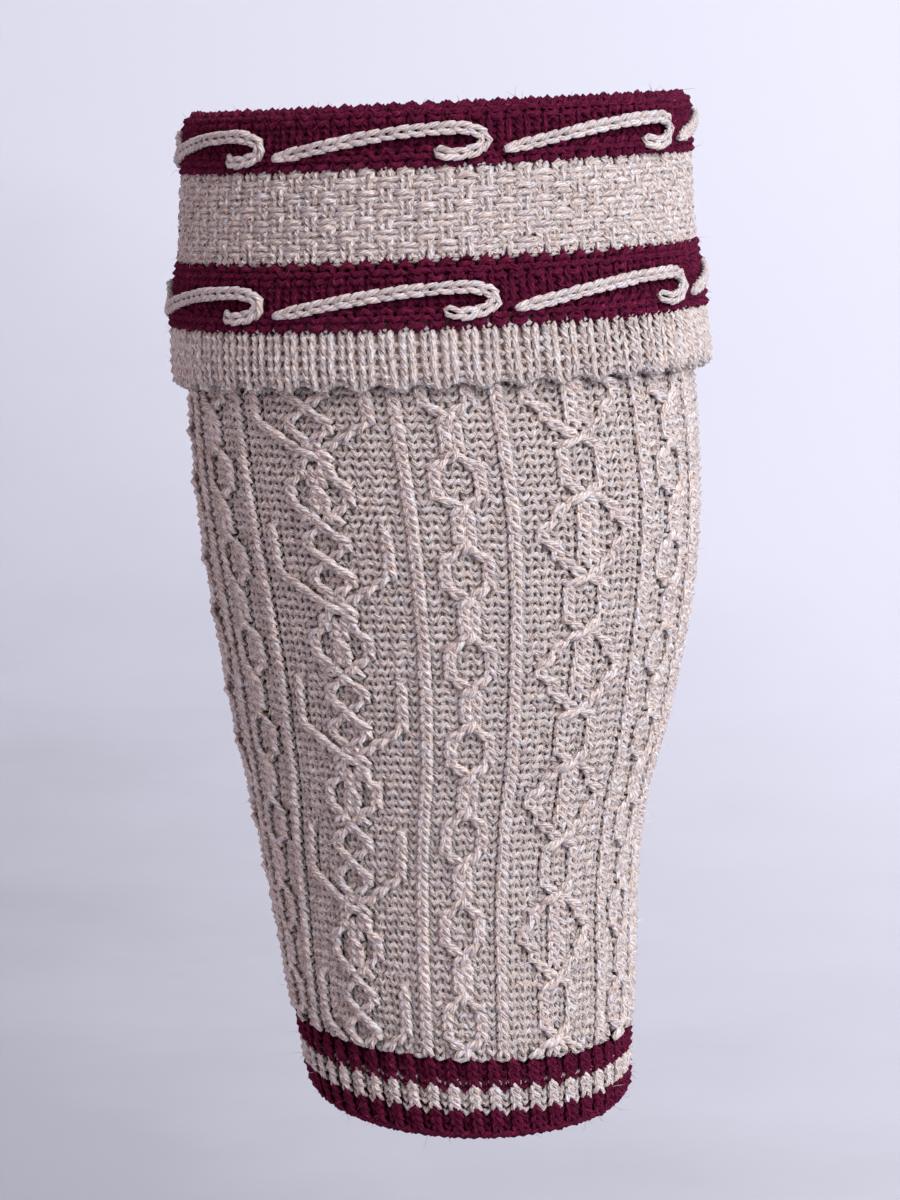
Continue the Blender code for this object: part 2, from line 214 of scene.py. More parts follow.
# Loose fibres: lift above which they are rooted, how deep a root sits in its yarn, mean length and the
# shortest and longest, half width, how much they stand up, lean aside and bend, and how many there are
# on each piece of yarn
FIBRE_LOWEST = -0.75
FIBRE_ROOT = 0.2
FIBRE_LENGTH = 1.3
FIBRE_LENGTH_RANGE = (0.6, 5.0)
FIBRE_HALF_WIDTH = 0.04
FIBRE_RISE = (0.1, 1.0)
FIBRE_LEAN = 0.5
FIBRE_BEND = 0.6
LEG_FIBRES = 2000
WELT_FIBRES = (400, 160, 500)
CUFF_FIBRES = {"hem_rows": 400, "band_low_rows": 650, "moss_rows": 350, "band_top_rows": 650}

# Welt: rows of ribs from the top, three a stripe, and the bound-off edge's height and place outwards
WELT_ROW = 1.86
WELT_TOP = -136.7
WELT_END = -158.0
WELT_STRIPES = [("welt_rows_top", "burgundy", 0), ("welt_rows_mid", "heather", 3),
                ("welt_rows_low", "burgundy", 6)]
WELT_STRIPE_ROWS = 3
WELT_STITCHES = 96
RIB_WIDTH = 0.74
BIND_OFF = (-153.1, -0.9)

# Cuff: its outer face in the order of knitting (height, place outwards), from inside the toothed
# edge, up the outside, and over the fold
CUFF_PROFILE = [
    (38.0, -3.2), (29.6, -3.2), (28.0, -2.7), (27.1, -1.5), (27.5, -0.3), (29.2, 0.25),
    (31.5, 0.5), (39.7, 0.0), (56.0, 0.0), (57.5, 0.3), (76.0, 0.3), (77.5, 0.0), (88.0, 0.0),
    (91.6, 0.2), (93.2, -0.6), (93.9, -2.2), (93.8, -3.8), (92.9, -5.0), (91.0, -5.4), (86.0, -5.4),
]
CUFF_FIRST_ROW = 5.03
CUFF_STITCHES = 84
RIDGE_LIFT = 0.62

# Teeth of the cuff's edge, one to two stitches: way of the edge along the profile, how far they spread
# from it, and how far they reach down, outwards and, in degrees, aside
TOOTH_WAY = 12.2
TOOTH_SPREAD = 3.0
TOOTH_HEIGHT = 1.1
TOOTH_OUT = 0.4
TOOTH_PINCH = 0.55

# Cuff pieces: piece, yarn, half its thickness, height of a row, rows (k knit, p purl, 0 and 1 the
# two moss rows); the rows inside the edge and inside the fold are made plainer
CUFF_PLAN = [
    ("hem_rows", "heather", 0.81, 2.46, "k" * 9),
    ("band_low_rows", "burgundy", 0.83, 1.79, "kppkkkkpp"),
    ("moss_rows", "heather", 0.84, 1.55, "k0011001100110"),
    ("band_top_rows", "burgundy", 0.83, 1.73, "kppkkkkppkkk"),
]
CUFF_WAYS_IN_SIGHT = (8.0, 80.0)

# Cuff stitches: how close a loop's legs stand in its smooth rows and in moss. Then the straight bar that
# shows on moss under a purl stitch: half its length, places along and lift, and the legs' reach to it
LEGS_CLOSER = 0.84
MOSS_LEGS_CLOSER = 0.92
BAR_REACH = 0.39
BAR_ALONG = (0.86, 0.96, 0.86)
BAR_FLANK_LIFT = -0.45
BAR_LEG_TOP = 0.4

# Thin shells in the middle of the cloth, whose dark faces are painted shade in the holes between the
# loops: lifts of their outer and inner face, and steps once round
SHELL_LIFTS = (-1.65, -1.85)
TUBE_SHELL_STEPS = 96
CUFF_SHELL_STEPS = 168

# Rings of the shells. Leg: first way, lowest height, how many. Welt: first way, how far past the last
# row, how many. Cuff: ways from, to and step at the edge and on the face, step over the fold, and how
# far from the profile's end they stop
LEG_SHELL_START, LEG_SHELL_END, LEG_SHELL_RINGS = 1.5, -136.0, 44
WELT_SHELL_START, WELT_SHELL_PAST, WELT_SHELL_RINGS = 0.8, 1.8, 13
CUFF_SHELL_EDGE = (4.0, 18.0, 1.2)
CUFF_SHELL_FACE = (18.0, 78.0, 3.0)
CUFF_SHELL_FOLD_STEP, CUFF_SHELL_SHORT = 1.2, 3.0

# Chain stitch hooks: degrees from the hook's start, height over the middle of the band
HOOK_LINE = [
    (0.0, -2.2), (7.0, -0.8), (14.5, 0.7), (21.0, 1.8), (29.5, 2.9), (36.0, 3.3), (42.0, 3.4),
    (46.2, 2.1), (47.4, -0.4), (44.8, -2.3), (39.6, -3.1), (36.6, -1.8),
]
HOOKS_PER_BAND = 7

# Rows of hooks: name, height of the band's middle, turn of the first hook, half height of the band's
# smooth stretch. Over its ridges, in RIDGE_WIDTH, a hook rises further
HOOK_BANDS = [("hook_top", 85.1, -36.5, 2.9), ("hook_low", 47.9, -35.0, 3.3)]
HOOK_LIFT = 0.95
RIDGE_RISE = 0.9
RIDGE_WIDTH = 1.3

# One link of a chain: along in links, across and lift in millimetres. Then the point that an open chain
# begins with: links before the start, links that it takes, its width in shares
LINK_ALONG = np.array([-0.50, -0.20, 0.28, 0.76, 1.0, 0.76, 0.28, -0.20])
LINK_ACROSS = np.array([0.0, 0.42, 0.92, 0.98, 0.0, -0.98, -0.92, -0.42])
LINK_LIFT = np.array([-0.50, 0.20, 0.50, 0.05, -0.45, 0.05, 0.50, 0.20])
LINK_LENGTH = 3.5
LINK_YARN = 0.77
LINK_SIDES = 6
UNEVEN_LINK = 0.04
POINT_START = 0.6
POINT_LINKS = 2.0
POINT_WIDTH = 0.25

# Smooth lines through a profile or a hook's points: step, and the reach of a rounded corner
PROFILE_STEP, PROFILE_ROUNDING = 0.2, 1.4
HOOK_STEP, HOOK_ROUNDING = 0.25, 1.8

# Bound-off edge: points of its line, and the way down and outwards that its chain faces
BIND_OFF_POINTS = 361
BIND_OFF_DOWN, BIND_OFF_OUT = 1.0, 0.6

# Backdrop in metres: depth and height of its line, half its width, and the tones of its painted shade
# from the lower left to the upper right
SWEEP_LINE = [(-3.0, -0.30), (0.9, -0.30), (1.5, -0.22), (1.9, 0.0), (2.1, 0.4), (2.15, 3.0)]
SWEEP_STEP, SWEEP_ROUNDING = 0.05, 0.35
SWEEP_HALF_WIDTH = 4.0
SWEEP_SHADE_TONES = [(0.03, 0.46), (0.23, 0.61), (0.54, 0.75), (1.0, 0.75)]

# Lights: name, place, the point it is aimed at, side in metres, power in watts, colour
LIGHTS = [
    ("key", (1.1, -1.3, 1.0), (0.0, 0.0, 0.0), 1.5, 53.0, (1.0, 0.99, 0.985)),
    ("fill", (-1.4, -0.9, 0.5), (0.0, 0.0, 0.0), 1.6, 8.8, (1.0, 0.69, 0.67)),
    ("wall", (1.6, 0.7, 1.5), (0.8, 2.1, 0.6), 1.0, 26.0, (0.97, 0.98, 1.0)),
]
ROOM_COLOUR = (0.86, 0.86, 0.96, 1.0)
ROOM_STRENGTH = 0.35

# Camera: place in metres, degrees that it looks down, focal length and height of the sensor
CAMERA_PLACE = (0.0, -1.05, 0.1004)
CAMERA_PITCH = 7.1
CAMERA_LENS = 126.0
CAMERA_SENSOR = 36.0

rng = np.random.default_rng(11)


# Shape of the tube

def read_smooth(table, heights):
    """The values of a section table at some heights, on smooth curves through its rows."""
    rows = table[::-1]
    at = rows[:, 0]
    last = len(at) - 1
    heights = np.clip(heights, at[0], at[last])
    k = np.clip(np.searchsorted(at, heights) - 1, 0, last - 1)
    before = np.maximum(np.arange(last + 1) - 1, 0)
    after = np.minimum(np.arange(last + 1) + 1, last)
    slopes = (rows[after] - rows[before]) / (at[after] - at[before])[:, None]
    span = at[k + 1] - at[k]
    share = (heights - at[k]) / span
    square, cube = share**2, share**3
    return [
        rows[k, j] * (2 * cube - 3 * square + 1)
        + slopes[k, j] * span * (cube - 2 * square + share)
        + rows[k + 1, j] * (3 * square - 2 * cube)
        + slopes[k + 1, j] * span * (cube - square)
        for j in range(1, rows.shape[1])
    ]


def tube_points(sections, heights, turns, outs):
    """Points on the tube that a section table describes, moved outwards, in metres."""
    axis_x, half_width, rise, dip = read_smooth(sections, heights)
    angles = np.radians(turns)
    side = (half_width + outs) * np.sin(angles)
    depth = (half_width * DEPTH_SHARE + outs) * np.cos(angles)
    return np.stack([axis_x + side, -depth, heights + rise * side - dip * depth], -1) * MM


def unit(vectors):
    """Vectors scaled to a length of 1."""
    return vectors / np.linalg.norm(vectors, axis=-1, keepdims=True)


def ways_along(points):
    """How far along their line points lie."""
    steps = np.linalg.norm(np.diff(points, axis=0), axis=1)
    return np.concatenate([[0.0], np.cumsum(steps)])


def smooth_line(points, step, reach):
    """A line through points, sampled every step and rounded over the reach of its corners."""
    points = np.array(points, float)
    ways = ways_along(points)
    even = np.arange(0.0, ways[-1], step)
    line = np.stack([np.interp(even, ways, column) for column in points.T], -1)
    width = int(reach / step)
    kernel = np.hanning(2 * width + 3)[1:-1]
    kernel /= kernel.sum()
    ends = [line[:1] - (line[1:2] - line[:1]) * k for k in range(width, 0, -1)]
    tails = [line[-1:] + (line[-1:] - line[-2:-1]) * k for k in range(1, width + 1)]
    padded = np.concatenate([*ends, line, *tails])
    line = np.stack([np.convolve(column, kernel, "valid") for column in padded.T], -1)
    return even, line


class Cloth:
    """A knitted cloth round the tube. Its outer face runs along a profile of (height, place
    outwards) in the order of knitting, and facing is 1 where it is knitted upwards, -1 downwards."""

    def __init__(self, sections, profile, facing, teeth=False):
        self.sections = sections
        self.teeth = teeth
        self.ways, line = smooth_line(profile, PROFILE_STEP, PROFILE_ROUNDING)
        self.heights, self.outs = line.T
        rise, outward = np.gradient(self.heights), np.gradient(self.outs)
        length = np.hypot(rise, outward)
        self.up, self.out = -facing * outward / length, facing * rise / length

    def points(self, ways, turns, lifts):
        """Points over the outer face, by way along the profile, turn and lift."""
        heights, outs, up, out = (
            np.interp(ways, self.ways, values)
            for values in (self.heights, self.outs, self.up, self.out)
        )
        if self.teeth:
            near = np.exp(-(((ways - TOOTH_WAY) / TOOTH_SPREAD) ** 2))
            phase = np.radians(turns * CUFF_STITCHES / 2)
            heights = heights - TOOTH_HEIGHT * near * np.cos(phase)
            outs = outs + TOOTH_OUT * near * np.cos(phase)
            turns = turns - TOOTH_PINCH * near * np.sin(phase)
        return tube_points(self.sections, heights + lifts * up, turns, outs + lifts * out)

    def outward(self, ways, turns, lifts):
        """Directions away from the cloth at its points."""
        return unit(self.points(ways, turns, lifts + 0.5) - self.points(ways, turns, lifts - 0.5))


# Rows of stitches

def stitches_at(row):
    """Stitches once round the leg at a row."""
    first, last = SHAPING_ROWS
    share = min(max((row - first) / (last - first), 0.0), 1.0)
    return STITCHES_AT_CALF + (STITCHES_AT_ANKLE - STITCHES_AT_CALF) * share


def place_turns(row, places):
    """The turns of places that are given in stitches from the front pattern's middle."""
    at = max(row, 0.0)
    middle = np.interp(at, PATTERN_ROWS[:, 0], PATTERN_ROWS[:, 1])
    per_stitch = np.interp(at, PATTERN_ROWS[:, 0], PATTERN_ROWS[:, 2])
    stitches = stitches_at(row)
    rounds = np.floor((places + stitches / 2) / stitches)
    places = places - rounds * stitches
    beyond = np.maximum(np.abs(places) - PATTERN_REACH, 0.0)
    per_back_stitch = (180.0 - PATTERN_REACH * per_stitch) / (stitches / 2 - PATTERN_REACH)
    reach = (np.abs(places) - beyond) * per_stitch + beyond * per_back_stitch
    return middle + np.copysign(reach, places) + 360.0 * rounds


def chart_row(chart, row):
    """The letters of a panel at a row."""
    if chart is GUSSET:
        wide, narrow = GUSSET_STITCHES
        share = (STITCHES_AT_CALF - stitches_at(row)) / (STITCHES_AT_CALF - STITCHES_AT_ANKLE)
        return "." * (wide - round((wide - narrow) * share))
    return chart[(row - CHART_FIRST_ROW[chart]) % len(chart)]


def heads_in_panel(here, above):
    """For each stitch of a panel's row, the stitch of the next row that goes through its head."""
    goes_on = [i for i, letter in enumerate(here) if letter in "kbx"]
    comes = [i for i, letter in enumerate(above) if letter in "kxe"]
    heads = dict(zip(goes_on, comes))
    crossing = [i for i in goes_on if here[i] == "x"]
    for left, right in zip(crossing[::2], crossing[1::2]):
        heads[left], heads[right] = heads[right], heads[left]
    rest = [i for i in range(len(here)) if i not in heads]
    free = [i for i in range(len(above)) if i not in comes]
    free = free[:1] * (len(rest) - len(free)) + free
    heads.update(zip(rest, free))
    return [heads[i] for i in range(len(here))]


def row_of(letters, turns, widths, heads, way, pitch, ridge=0.0, cuff=False, moss=False,
           foot_reach=FULL_REACH, head_reach=FULL_REACH, edge_foot=EDGE_FOOT, sides=1.0):
    """A row of stitches as the loops need it. Sides is 1 where the stitch that moves to the right
    crosses in front, -1 where the other does."""
    letters = np.array(list(letters))
    raised = np.isin(letters, list("kbex"))
    return {
        "twisted": raised,
        "purl": letters == ".",
        "turns": np.array(turns),
        "widths": np.array(widths),
        "heads": np.array(heads),
        "cross": np.where(letters == "x", 1.0, 0.0) * sides,
        "way": way,
        "pitch": pitch,
        "ridge": ridge,
        "cuff": cuff,
        "moss": moss,
        "foot_reach": foot_reach,
        "head_reach": head_reach,
        "edge_foot": edge_foot,
    }


def panel_widths(chart, row):
    """Stitch widths of a panel at a row, evened out with the rows next to it."""
    if chart is GUSSET:
        return [PURL_WIDTH] * len(chart_row(chart, row))
    rows = [chart_row(chart, row + step) for step in (-1, 0, 0, 1)]
    share = [sum(letter != "." for letter in column) / len(rows) for column in zip(*rows)]
    return [PURL_WIDTH + (RAISED_WIDTH - PURL_WIDTH) * s for s in share]


def leg_row(row):
    """One row of the leg, from the front's first raised column once round. The panels to the right of
    a half's middle cross the other way than those to its left."""
    stitches = stitches_at(row)
    letters, heads = "", []
    places, halves, sides = [], [], []
    stitches_above = 0
    following = ROUND[1:] + [(2, ROUND[0][1], ROUND[0][2])]
    for (half, at, chart), (next_half, next_at, _) in zip(ROUND, following):
        start = half * stitches / 2 + at
        span = next_half * stitches / 2 + next_at - start
        widths = [RAISED_WIDTH, *panel_widths(chart, row), RAISED_WIDTH]
        steps = np.cumsum([(a + b) / 2 for a, b in zip(widths, widths[1:])])
        scale = span / steps[-1]
        places += [start, *(start + steps[:-1] * scale)]
        halves += [w * scale / 2 for w in widths[:-1]]
        here, above = chart_row(chart, row), chart_row(chart, row + 1)
        letters += "k" + here
        sides += [-1.0 if at > 0 else 1.0] * (1 + len(here))
        heads += [stitches_above, *(stitches_above + 1 + k for k in heads_in_panel(here, above))]
        stitches_above += 1 + len(above)
    places, halves = np.array(places), np.array(halves)
    widths = place_turns(row, places + halves) - place_turns(row, places - halves)
    way = LEG_ROW * (row - LEG_ROWS[0]) + LEG_ROW
    head_reach = LAST_ROW_REACH if row == LEG_ROWS[1] - 1 else FULL_REACH
    return row_of(letters, place_turns(row, places), widths, heads, way, LEG_ROW,
                  head_reach=head_reach, sides=sides)


def welt_row(k):
    """One row of ribs, with as many stitches as the leg's last row."""
    row = LEG_ROWS[1]
    widths = np.array([RIB_WIDTH, PURL_WIDTH] * (WELT_STITCHES // 2))
    widths *= WELT_STITCHES / widths.sum()
    places = ROUND[0][1] + np.cumsum(widths) - widths / 2 - widths[0] / 2
    turned = place_turns(row, places + widths / 2) - place_turns(row, places - widths / 2)
    letters = "k." * (WELT_STITCHES // 2)
    way = WELT_ROW * (k + 1)
    return row_of(letters, place_turns(row, places), turned, range(WELT_STITCHES), way, WELT_ROW,
                  edge_foot=RIB_EDGE_FOOT)


def cuff_letters(kind):
    """The letters of a cuff row: . purl, v knit."""
    if kind == "p":
        return "." * CUFF_STITCHES
    if kind == "k":
        return "v" * CUFF_STITCHES
    pair = ".v" if kind == "0" else "v."
    return pair * (CUFF_STITCHES // 2)


def cuff_rows():
    """All rows of the cuff in the order of knitting, as (piece, yarn, thickness, row)."""
    width = 360.0 / CUFF_STITCHES
    turns = (np.arange(CUFF_STITCHES) + 0.5) * width - 180.0
    rows = []
    way = CUFF_FIRST_ROW
    for piece, yarn, thickness, pitch, kinds in CUFF_PLAN:
        last = len(kinds) - 1
        for k, kind in enumerate(kinds):
            ridge = RIDGE_LIFT if kind == "p" else 0.0
            widths = np.full(CUFF_STITCHES, width)
            heads = range(CUFF_STITCHES)
            row = row_of(cuff_letters(kind), turns, widths, heads, way + pitch / 2, pitch, ridge,
                         cuff=True, moss=piece == "moss_rows",
                         foot_reach=COLOUR_EDGE_REACH if k == 0 else FULL_REACH,
                         head_reach=COLOUR_EDGE_REACH if k == last else FULL_REACH)
            rows.append((piece, yarn, thickness, row))
            way += pitch
    return rows


# Loops of yarn

def blend(share):
    """A smooth change from 0 to 1."""
    share = np.clip(share, 0.0, 1.0)
    return share * share * (3 - 2 * share)


def plain_lifts(row, above):
    """Lift of the loops' points off the cloth's face: purl arcs in front, knit legs in front."""
    back = CUFF_BACK if row["cuff"] else KNIT_BACK
    own = np.where(row["purl"], 1.0, back)
    over = np.where(above["purl"][row["heads"]], 1.0, back)
    flank = np.where(row["purl"], PURL_FLANK, KNIT_FLANK)
    lifts = np.tile(flank[:, None], (1, len(KNIT_ALONG)))
    lifts[:, FOOT] = np.where(own == np.roll(own, 1), own, row["edge_foot"])
    lifts[:, HEAD] = over
    lifts[:, LEGS] = np.where(own > 0, -1.0, 1.0)[:, None]
    lifts = CLOTH_MIDDLE + CLOTH_DEPTH * lifts
    lifts[:, LOW_ARC] += row["ridge"] * (own > 0)[:, None]
    lifts[:, HIGH_ARC] += above["ridge"] * (over > 0)[:, None]
    return lifts


def loops(cloth, row, above, coarse=False, thickness=None):
    """A row's yarn: points, outward directions and half thickness, once round."""
    round_arcs = (row["purl"] & (not row["moss"]))[:, None]
    across = np.where(round_arcs, PURL_ACROSS, KNIT_ACROSS)
    along = np.where(round_arcs, PURL_ALONG, KNIT_ALONG)
    lifts = plain_lifts(row, above)
    twisted = row["twisted"]
    over_purl = above["purl"][row["heads"]]
    if row["cuff"]:
        across[:, 1:][~row["purl"]] *= MOSS_LEGS_CLOSER if row["moss"] else LEGS_CLOSER
    if row["moss"]:
        across[over_purl, 3], across[over_purl, 5] = -BAR_REACH, BAR_REACH
        along[over_purl, 3:6] = BAR_ALONG
        lifts[over_purl, 3], lifts[over_purl, 5] = BAR_FLANK_LIFT, BAR_FLANK_LIFT
        along[over_purl, 2] = along[over_purl, 6] = BAR_LEG_TOP
    feet, heads = lifts[:, FOOT].copy(), lifts[:, HEAD].copy()
    across[twisted], along[twisted], lifts[twisted] = TWISTED_ACROSS, TWISTED_ALONG, TWISTED_LIFT
    lifts[:, FOOT] = feet
    lifts[over_purl, HEAD] = heads[over_purl]
    along = np.clip(along, -row["foot_reach"], row["head_reach"])
    if coarse:
        across, along, lifts = across[:, ::2], along[:, ::2], lifts[:, ::2]
    count, points = across.shape

    foot_turn, foot_width = row["turns"][:, None], row["widths"][:, None]
    head_turn = above["turns"][row["heads"]][:, None]
    head_turn = head_turn - 360.0 * np.round((head_turn - foot_turn) / 360.0)
    head_width = above["widths"][row["heads"]][:, None]
    travel = np.clip(np.abs(head_turn - foot_turn) / foot_width - TRAVEL_SHARE, 0.0, 1.0)
    rightwards = np.sign(head_turn - foot_turn)
    upper = blend(along - LEAN_FROM)
    moving = np.where(twisted[:, None], TRAVEL_LIFT, PASSED_LIFT) * travel
    crossing = OVER_LIFT * row["cross"][:, None] * rightwards
    lifts = lifts + (moving + crossing) * np.clip(along - LIFT_FROM, 0.0, 1.0)

    size = 1.0 + rng.normal(0.0, UNEVEN_LOOP, (count, 1))
    turns = foot_turn + (head_turn - foot_turn) * upper
    turns = turns + (foot_width + (head_width - foot_width) * upper) * across
    ways = row["way"] + row["pitch"] * along * size
    uneven = rng.normal(0.0, UNEVEN_PLACE, (3, *turns.shape))
    turns, ways, lifts = (np.stack([turns, ways, lifts]) + uneven).reshape(3, -1)
    yarn = np.where(row["purl"], PURL_YARN, KNIT_YARN) if thickness is None else thickness
    yarn = yarn * (1.0 + rng.normal(0.0, UNEVEN_YARN, count))
    yarn = np.repeat(yarn, points)
    yarn = (yarn + np.roll(yarn, 1) + np.roll(yarn, -1)) / 3
    return cloth.points(ways, turns, lifts), cloth.outward(ways, turns, lifts), yarn * MM, lifts


def strand(points, outward, yarn, lifts, sides=YARN_SIDES):
    """A closed strand of yarn as vertices, faces, UVs (along in millimetres, once round) and
    depths, with its first side towards the outside."""
    count = len(points)
    along = unit(np.roll(points, -1, 0) - np.roll(points, 1, 0))
    across = unit(np.cross(along, outward))
    out = np.cross(across, along)
    corners = []
    for side in range(sides):
        angle = 2 * math.pi * side / sides
        corners.append(points + yarn[:, None] * (math.cos(angle) * out + math.sin(angle) * across))
    vertices = np.stack(corners, 1)
    here = np.arange(count)
    after = (here + 1) % count
    side = np.arange(sides)
    beside = (side + 1) % sides
    faces = np.stack([
        here[:, None] * sides + side, here[:, None] * sides + beside,
        after[:, None] * sides + beside, after[:, None] * sides + side,
    ], -1)
    steps = np.linalg.norm(np.roll(points, -1, 0) - points, axis=1) / MM
    ways = np.concatenate([[0.0], np.cumsum(steps)]) + rng.uniform(0.0, BALL_LENGTH)
    begin = np.tile(ways[:-1, None], (1, sides))
    end = np.tile(ways[1:, None], (1, sides))
    low = np.tile(side / sides, (count, 1))
    high = low + 1.0 / sides
    uvs = np.stack([begin, low, begin, high, end, high, end, low], -1)
    depths = np.repeat(lifts, sides)
    return vertices.reshape(-1, 3), faces.reshape(-1, 4), uvs.reshape(-1, 2), depths


def new_object(name, data):
    """An object in the scene."""
    obj = bpy.data.objects.new(name, data)
    bpy.context.scene.collection.objects.link(obj)
    return obj


def root_piece(name, mesh):
    """A piece of the one body, from a mesh that already holds its material."""
    obj = new_object(name, mesh)
    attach(obj, "root")
    return obj


def yarn_piece(name, strands, yarns, yarn, node):
    """One piece from many strands of a yarn, which stands for a node of the frame."""
    vertices, faces, uvs, depths = zip(*strands)
    starts = np.cumsum([0, *(len(points) for points in vertices[:-1])])
    vertices = np.concatenate(vertices)
    faces = np.concatenate([corners + start for corners, start in zip(faces, starts)])
    mesh = bpy.data.meshes.new(name)
    mesh.vertices.add(len(vertices))
    mesh.vertices.foreach_set("co", vertices.ravel())
    mesh.loops.add(faces.size)
    mesh.loops.foreach_set("vertex_index", faces.ravel())
    mesh.polygons.add(len(faces))
    mesh.polygons.foreach_set("loop_start", np.arange(len(faces)) * 4)
    mesh.update(calc_edges=True)
    mesh.shade_smooth()
    mesh.uv_layers.new(name="yarn").data.foreach_set("uv", np.concatenate(uvs).ravel())
    # The lift of each point, which the yarn material turns into painted shade in the cloth's depth
    mesh.attributes.new("lift", "FLOAT", "POINT").data.foreach_set("value", np.concatenate(depths))
    mesh.materials.append(yarns[yarn])
    obj = root_piece(name, mesh)
    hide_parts(node)
    return obj


def fibre_piece(name, strands, yarns, yarn, count):
    """Fine loose fibres that stand off the outer yarn: slender closed spikes, bent once."""
    outer = np.concatenate([s[0][::YARN_SIDES] for s in strands])
    inner = np.concatenate([s[0][2::YARN_SIDES] for s in strands])
    depths = np.concatenate([s[3][::YARN_SIDES] for s in strands])
    roots = rng.choice(np.flatnonzero(depths > FIBRE_LOWEST), count)
    out = unit(outer[roots] - inner[roots])
    rise = rng.uniform(*FIBRE_RISE, (count, 1))
    lean = unit(out * rise + rng.normal(0.0, FIBRE_LEAN, (count, 3)))
    bend = unit(lean + rng.normal(0.0, FIBRE_BEND, (count, 3)))
    lengths = np.clip(rng.exponential(FIBRE_LENGTH, (count, 1)), *FIBRE_LENGTH_RANGE) * MM
    across = unit(np.cross(lean, rng.normal(0.0, 1.0, (count, 3))))
    beside = np.cross(lean, across)
    base = outer[roots] - out * FIBRE_ROOT * MM
    middle = base + lean * lengths / 2
    corners = []
    for centre in (base, middle):
        for angle in (0.0, 2 * math.pi / 3, 4 * math.pi / 3):
            spoke = across * math.cos(angle) + beside * math.sin(angle)
            corners.append(centre + spoke * FIBRE_HALF_WIDTH * MM)
    corners.append(middle + bend * lengths / 2)
    vertices = np.stack(corners, 1).reshape(-1, 3)
    first = np.arange(count)[:, None] * len(corners)
    sides = first + np.array([0, 1, 4, 3, 1, 2, 5, 4, 2, 0, 3, 5])
    ends = first + np.array([2, 1, 0, 3, 4, 6, 4, 5, 6, 5, 3, 6])
    mesh = bpy.data.meshes.new(name)
    mesh.from_pydata(vertices.tolist(), [],
                     sides.reshape(-1, 4).tolist() + ends.reshape(-1, 3).tolist())
    mesh.materials.append(yarns[f"{yarn}_fibre"])
    return root_piece(name, mesh)


# Materials

def new_material(name, roughness):
    """A material with its node tree and its shader."""
    material = bpy.data.materials.new(name)
    material.use_nodes = True
    shader = material.node_tree.nodes["Principled BSDF"]
    shader.inputs["Roughness"].default_value = roughness
    return material, material.node_tree, shader


def add_node(tree, kind, inputs, **settings):
    """A node of a kind. Each of its inputs is a value, or an output of another node."""
    made = tree.nodes.new("ShaderNode" + kind)
    for name, value in settings.items():
        setattr(made, name, value)
    for name, value in inputs.items():
        if isinstance(value, bpy.types.NodeSocket):
            tree.links.new(value, made.inputs[name])
        else:
            made.inputs[name].default_value = value
    return made


def scaled_sum(tree, value, factor, rest):
    """A number times a factor, plus another number."""
    inputs = {0: value, 1: factor, 2: rest}
    return add_node(tree, "Math", inputs, operation="MULTIPLY_ADD").outputs[0]


def noise(tree, place, scale, detail=2.0, roughness=0.5):
    """Soft noise at a place."""
    inputs = {"Vector": place, "Scale": scale, "Detail": detail, "Roughness": roughness}
    return add_node(tree, "TexNoise", inputs).outputs["Fac"]


def remap(tree, value, old, new):
    """A number carried over from one range to another."""
    inputs = {"Value": value, "From Min": old[0], "From Max": old[1],
              "To Min": new[0], "To Max": new[1]}
    return add_node(tree, "MapRange", inputs).outputs[0]


def colour_ramp(tree, value, stops):
    """The colour at a number, from stops of place and colour in rising order."""
    made = add_node(tree, "ValToRGB", {"Fac": value})
    elements = made.color_ramp.elements
    for place, _ in stops[1:-1]:
        elements.new(place)
    for element, (place, colour) in zip(elements, stops):
        element.position = place
        element.color = (*colour, 1.0)
    return made.outputs["Color"]


def multiplied(tree, colour, by):
    """A colour multiplied by another colour or by a number."""
    inputs = {"Factor": 1.0, "A": colour, "B": by}
    return add_node(tree, "Mix", inputs, data_type="RGBA", blend_type="MULTIPLY").outputs["Result"]


def add_relief(tree, shader, height, strength, distance):
    """Fine relief on the shader, its distance in metres."""
    made = add_node(tree, "Bump", {"Height": height, "Strength": strength, "Distance": distance})
    tree.links.new(made.outputs[0], shader.inputs["Normal"])


def fibre_material(name, colour):
    """A single fibre, far too fine to show any pattern."""
    material, _, shader = new_material(name, 0.8)
    shader.inputs["Base Color"].default_value = (*colour, 1.0)
    return material


